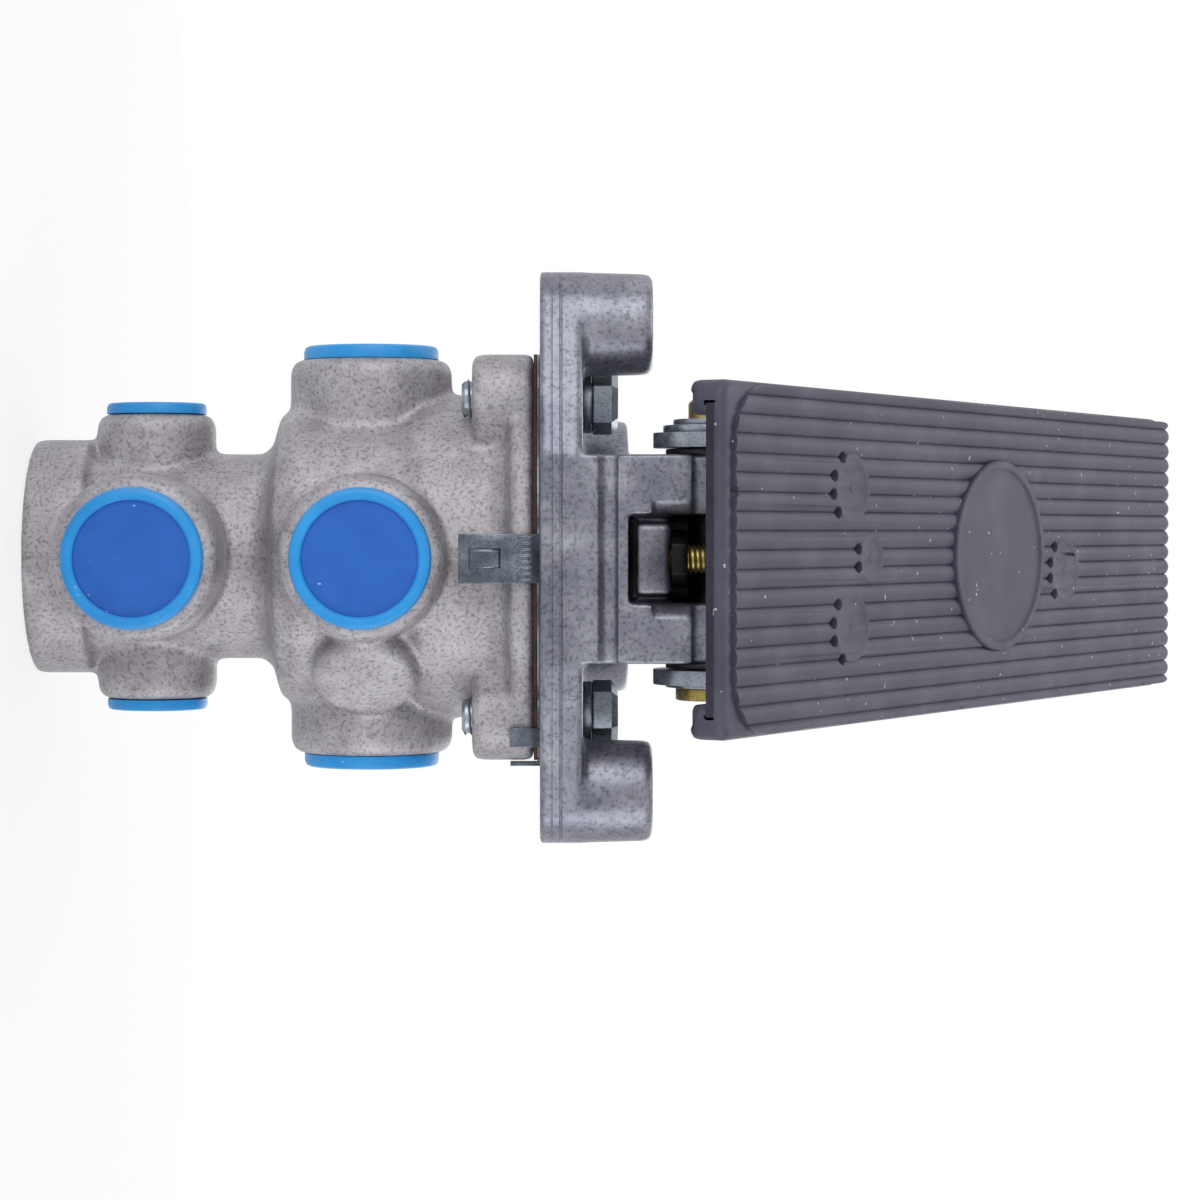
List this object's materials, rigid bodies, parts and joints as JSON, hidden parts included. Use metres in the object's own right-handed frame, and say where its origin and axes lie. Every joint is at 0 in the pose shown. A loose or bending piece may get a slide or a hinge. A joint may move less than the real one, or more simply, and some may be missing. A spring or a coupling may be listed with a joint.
{
  "type": "foot brake valve with treadle",
  "caption": "Two-circuit air brake foot valve: cast ported body, die-cast base with three posts, hinged ribbed rubber treadle that presses a plunger through a roller.",
  "frame": {"origin": "on the valve axis, in the plane of the three posts' end faces", "axes": "+Z along the valve axis towards the treadle, -Y towards the driver's heel, +X to the driver's right"},
  "size_m": [0.1146, 0.1691, 0.2552],
  "materials": {
    "cast_aluminium": "blasted casting",
    "die_cast_aluminium": "as die-cast",
    "blue_plastic": "glossy",
    "gasket": "matte",
    "zinc_steel": "zinc plated",
    "yellow_zinc": "yellow passivated zinc",
    "black_plastic": "matte",
    "bronze": "sintered",
    "rubber": "matte",
    "treadle_rubber": "moulded",
    "machined_aluminium": "turned",
    "steel": "turned",
    "spring_steel": "oiled"
  },
  "bodies": {
    "housing": {"valve_body": "cast_aluminium", "mounting_base": "die_cast_aluminium", "flange_gasket": "gasket", "tab_plate": "zinc_steel", "body_bolts": "zinc_steel", "bolt_washers": "zinc_steel", "upper_port_plug_front": "blue_plastic", "upper_port_plug_right": "blue_plastic", "upper_port_plug_left": "blue_plastic", "lower_port_plug_front": "blue_plastic", "lower_port_plug_right": "blue_plastic", "lower_port_plug_left": "blue_plastic", "hinge_pin": "yellow_zinc", "pin_spacers": "black_plastic", "pin_washer": "zinc_steel", "pin_retainer": "yellow_zinc", "head_washer": "yellow_zinc", "stop_screw": "yellow_zinc", "stop_screw_nut": "yellow_zinc", "plunger_bush": "bronze", "plunger_boot": "rubber", "graduating_spring": "spring_steel", "piston_return_spring": "spring_steel", "primary_valve_carrier": "machined_aluminium", "primary_valve_guide": "steel", "primary_valve_spring": "spring_steel", "relay_return_spring": "spring_steel", "secondary_valve_spring": "spring_steel", "exhaust_guide": "black_plastic", "guide_retaining_ring": "spring_steel", "exhaust_plate": "steel", "exhaust_flap": "rubber", "exhaust_retaining_ring": "spring_steel"},
    "treadle": {"treadle_lever": "zinc_steel", "treadle_pad": "treadle_rubber", "roller_bracket": "zinc_steel", "roller_pin": "zinc_steel", "roller_clips": "zinc_steel"},
    "roller": {"roller": "steel"},
    "plunger": {"plunger": "steel", "spring_seat": "steel"},
    "primary_piston": {"primary_piston": "machined_aluminium", "primary_piston_seal": "rubber"},
    "primary_valve": {"primary_inlet_valve": "steel", "primary_valve_face": "rubber"},
    "relay_piston": {"relay_piston": "machined_aluminium", "relay_piston_seal": "rubber"},
    "secondary_valve": {"secondary_inlet_valve": "steel", "secondary_valve_face": "rubber"}
  },
  "joints": [
    {"name": "treadle_hinge", "type": "hinge", "parent": "housing", "child": "treadle", "pos_m": [0, -0.04, 0.012], "axis": [-1, 0, 0], "range_deg": [0, 15], "stiffness_Nm_per_rad": 20, "springref_deg": -5.73},
    {"name": "roller_spin", "type": "hinge", "parent": "treadle", "child": "roller", "pos_m": [0, 0, 0.0382], "axis": [1, 0, 0], "continuous": true},
    {"name": "plunger_slide", "type": "slide", "parent": "housing", "child": "plunger", "axis": [0, 0, -1], "range_m": [0, 0.01135], "deforming": ["plunger_boot", "graduating_spring"]},
    {"name": "primary_piston_slide", "type": "slide", "parent": "housing", "child": "primary_piston", "axis": [0, 0, -1], "range_m": [0, 0.0031], "deforming": ["piston_return_spring"]},
    {"name": "primary_valve_slide", "type": "slide", "parent": "housing", "child": "primary_valve", "axis": [0, 0, -1], "range_m": [0, 0.0016], "deforming": ["primary_valve_spring"]},
    {"name": "relay_piston_slide", "type": "slide", "parent": "housing", "child": "relay_piston", "axis": [0, 0, -1], "range_m": [0, 0.0031], "deforming": ["relay_return_spring"]},
    {"name": "secondary_valve_slide", "type": "slide", "parent": "housing", "child": "secondary_valve", "axis": [0, 0, -1], "range_m": [0, 0.0016], "deforming": ["secondary_valve_spring"]}
  ],
  "couplings": [
    {"joint": "plunger_slide", "follows": "treadle_hinge", "m_per_rad": 0.0432},
    {"joint": "primary_piston_slide", "follows": "treadle_hinge", "m_per_rad": 0.011459},
    {"joint": "primary_valve_slide", "follows": "treadle_hinge", "m_per_rad": 0.00573},
    {"joint": "relay_piston_slide", "follows": "treadle_hinge", "m_per_rad": 0.011459},
    {"joint": "secondary_valve_slide", "follows": "treadle_hinge", "m_per_rad": 0.00573}
  ]
}
